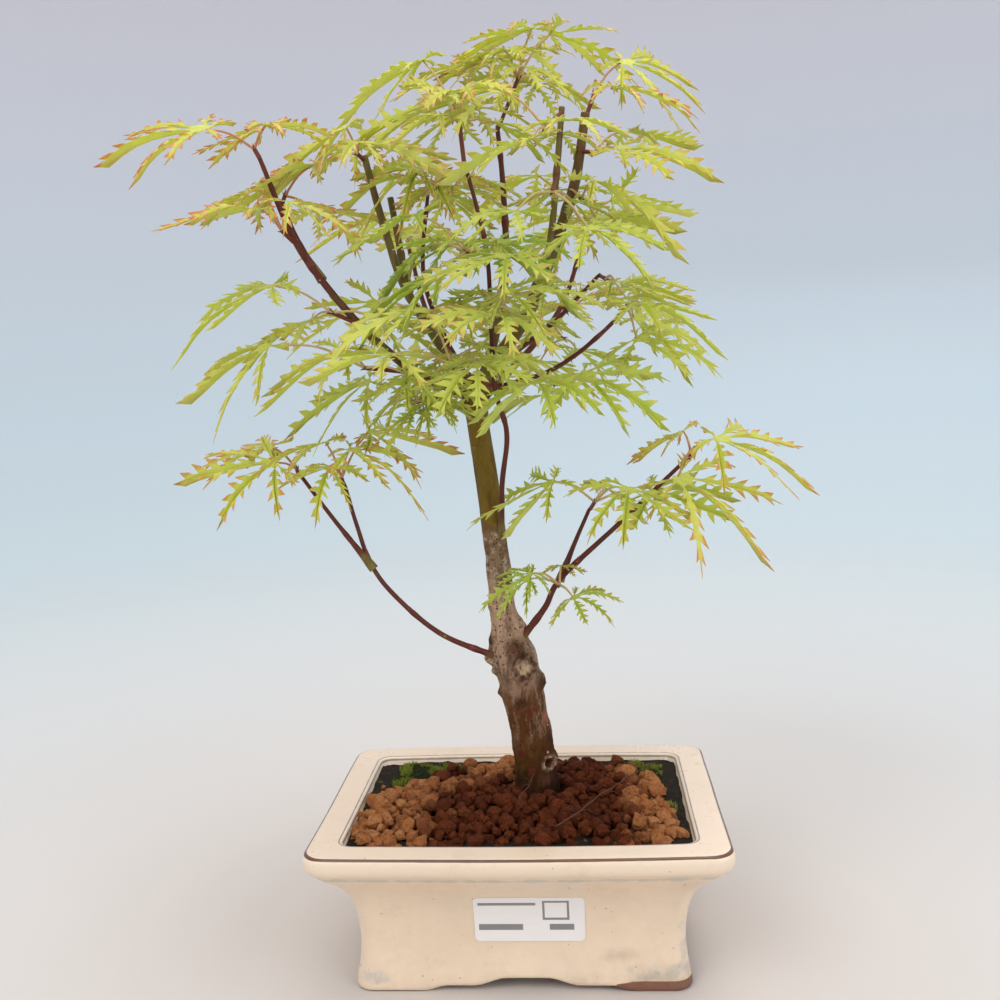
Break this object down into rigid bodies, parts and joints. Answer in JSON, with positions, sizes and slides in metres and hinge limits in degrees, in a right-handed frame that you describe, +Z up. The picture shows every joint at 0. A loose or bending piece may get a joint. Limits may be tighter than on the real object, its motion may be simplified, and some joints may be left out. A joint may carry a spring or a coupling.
{
  "type": "potted bonsai tree",
  "caption": "Young lace-leaf maple trained as a bonsai, with a bare crooked trunk and a spreading leafy crown, in a footed rectangular glazed pot of clay granules.",
  "frame": {"origin": "on the ground, under the middle of the whole object's box", "axes": "+Z up the tree, +X along the long side of the pot, -Y towards the side of the pot that bears the sticker"},
  "size_m": [0.3044, 0.2242, 0.4101],
  "materials": {
    "glaze": "cream stoneware glaze, satin, with fine dark specks and brown edges",
    "sticker": "plain coated paper, satin",
    "soil": "damp dark potting soil, matt",
    "net": "dark plastic mesh, matt",
    "granules": "baked clay grains, matt, damp brown to dry tan",
    "moss": "live cushion moss, matt",
    "dry_root": "thin dry root, matt",
    "bark": "rough brown and grey bark below, smooth olive above",
    "young_wood": "smooth dark red to olive young bark, satin",
    "leaf": "thin live leaf, yellow-green with red margins, satin"
  },
  "bodies": {
    "root": {"back_left_limb": "young_wood", "back_right_limb": "young_wood", "centre_back_limb": "young_wood", "clay_granules": "granules", "dark_shoot": "young_wood", "drain_net_left": "net", "drain_net_right": "net", "label": "sticker", "left_limb": "young_wood", "left_limb_shoot": "young_wood", "left_mid_limb": "young_wood", "left_mid_stub": "young_wood", "loose_rootlet": "dry_root", "low_left_limb": "young_wood", "low_left_shoot": "young_wood", "low_right_limb": "young_wood", "low_right_shoot": "young_wood", "moss_back_left": "moss", "moss_back_right": "moss", "moss_front_right": "moss", "pot": "glaze", "right_front_limb": "young_wood", "right_low_shoot": "young_wood", "right_main_limb": "young_wood", "right_spread": "young_wood", "side_limb": "young_wood", "soil": "soil", "spray_back_left": "leaf", "spray_back_low": "leaf", "spray_back_mid": "leaf", "spray_back_right": "leaf", "spray_centre": "leaf", "spray_front": "leaf", "spray_front_left": "leaf", "spray_front_right": "leaf", "spray_inner_left": "leaf", "spray_left_crest": "leaf", "spray_left_inner": "leaf", "spray_left_lower": "leaf", "spray_left_mid": "leaf", "spray_left_shoot": "leaf", "spray_left_tip": "leaf", "spray_left_under": "leaf", "spray_low_left": "leaf", "spray_low_left_tip": "leaf", "spray_low_right_base": "leaf", "spray_low_right_mid": "leaf", "spray_low_right_tip": "leaf", "spray_right_back": "leaf", "spray_right_crest": "leaf", "spray_right_low": "leaf", "spray_right_mid": "leaf", "spray_right_under": "leaf", "spray_right_upper": "leaf", "spray_top": "leaf", "spray_top_front": "leaf", "spray_top_left": "leaf", "spray_top_right": "leaf", "trunk": "bark", "trunk_rootlet": "dry_root"}
  },
  "joints": []
}
